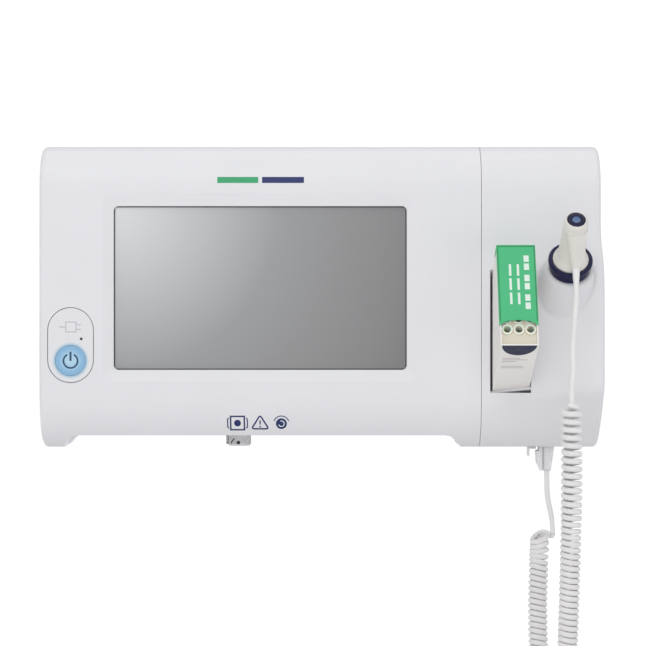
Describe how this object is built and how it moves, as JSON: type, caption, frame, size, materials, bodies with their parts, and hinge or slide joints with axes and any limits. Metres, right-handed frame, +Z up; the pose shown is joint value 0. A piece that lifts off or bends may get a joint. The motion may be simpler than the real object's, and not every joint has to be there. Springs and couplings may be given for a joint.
{
  "type": "wall-mounted vital-signs monitor",
  "caption": "Wall-mounted vital-signs monitor with a touch screen, an air port for a cuff, and a thermometer module with a corded probe, its well and a carton of probe covers.",
  "frame": {"origin": "centre of the wall-mount hole pattern, in the plane of the mount plate's back face", "axes": "+X to the right as seen by the user in front, along the longer side; +Y into the wall; +Z up"},
  "size_m": [0.2953, 0.1177, 0.3356],
  "materials": {
    "housing_white": "fine satin texture",
    "green_plastic": "satin",
    "navy_plastic": "satin",
    "screen_black": "glossy",
    "touch_glass": "polished",
    "dark_plastic": "matte",
    "sheet_metal": "satin",
    "bright_metal": "polished",
    "steel": "satin",
    "circuit_board": "solder mask",
    "copper_flex": "flexible circuit",
    "button_blue": "satin",
    "clear_plastic": "smoked clear",
    "rubber_black": "matte",
    "cord_white": "satin",
    "card_white": "coated card",
    "tray_grey": "matte",
    "cover_cream": "satin",
    "probe_white": "satin",
    "battery_wrap": "printed wrap"
  },
  "bodies": {
    "root": {"air_manifold": "dark_plastic", "air_port": "bright_metal", "air_pump": "steel", "air_tube": "rubber_black", "air_valves": "steel", "battery_contacts": "dark_plastic", "battery_door": "housing_white", "battery_pack": "battery_wrap", "board_components": "dark_plastic", "button_board": "circuit_board", "call_jack": "dark_plastic", "carton_holder": "housing_white", "cord_coil_front": "cord_white", "cord_coil_rear": "cord_white", "cord_lead_plug": "cord_white", "cord_lead_probe": "cord_white", "display_bracket": "sheet_metal", "display_module": "screen_black", "display_ribbon": "copper_flex", "door_screw": "steel", "ethernet_jack": "sheet_metal", "front_housing": "housing_white", "link_cable": "rubber_black", "main_board": "circuit_board", "module_board": "circuit_board", "module_front_housing": "housing_white", "module_rear_housing": "housing_white", "module_screws": "steel", "monitor_screws": "steel", "mount_plate": "sheet_metal", "mount_screws": "steel", "port_clip": "steel", "power_inlet": "dark_plastic", "power_pad": "housing_white", "power_switch": "dark_plastic", "probe_socket": "dark_plastic", "pump_strap": "steel", "rear_housing": "housing_white", "screen_gasket": "rubber_black", "speaker": "dark_plastic", "status_light_pipe": "clear_plastic", "touch_panel": "touch_glass", "usb_ports": "sheet_metal", "well_sensor": "dark_plastic"},
    "power_button": {"power_button": "button_blue"},
    "probe_well": {"probe_well": "navy_plastic"},
    "probe": {"probe_handle": "probe_white", "probe_shaft": "steel", "probe_tip": "bright_metal", "probe_strain_relief": "cord_white", "ejector_spring": "steel"},
    "eject_button": {"eject_button": "navy_plastic", "ejector_fork": "probe_white"},
    "carton": {"cover_carton": "card_white", "carton_lid": "green_plastic", "carton_tray": "tray_grey", "probe_covers": "cover_cream"},
    "plug": {"probe_plug": "clear_plastic", "plug_shell": "cord_white"},
    "plug_latch": {"plug_latch": "cord_white"}
  },
  "joints": [
    {"name": "power_button_press", "type": "slide", "parent": "root", "child": "power_button", "axis": [0, 1, 0], "range_m": [0, 0.0008], "stiffness_N_per_m": 900, "springref_m": -0.0008},
    {"name": "well_lift", "type": "slide", "parent": "root", "child": "probe_well", "axis": [0, -0.788, 0.6157], "range_m": [0, 0.088]},
    {"name": "probe_lift", "type": "slide", "parent": "probe_well", "child": "probe", "axis": [0, -0.788, 0.6157], "range_m": [0, 0.11]},
    {"name": "eject_press", "type": "slide", "parent": "probe", "child": "eject_button", "axis": [0, 0.788, -0.6157], "range_m": [0, 0.003], "stiffness_N_per_m": 600, "springref_m": -0.001, "deforming": ["ejector_spring"]},
    {"name": "carton_slide", "type": "slide", "parent": "root", "child": "carton", "axis": [0, -0.9063, 0.4226], "range_m": [0, 0.09]},
    {"name": "plug_pull", "type": "slide", "parent": "root", "child": "plug", "axis": [0, 0, -1], "range_m": [0, 0.014], "deforming": ["cord_lead_plug"]},
    {"name": "plug_latch_press", "type": "hinge", "parent": "plug", "child": "plug_latch", "pos_m": [0.1467, -0.04, -0.0667], "axis": [0, -1, 0], "range_deg": [0, 5], "stiffness_Nm_per_rad": 0.2}
  ]
}
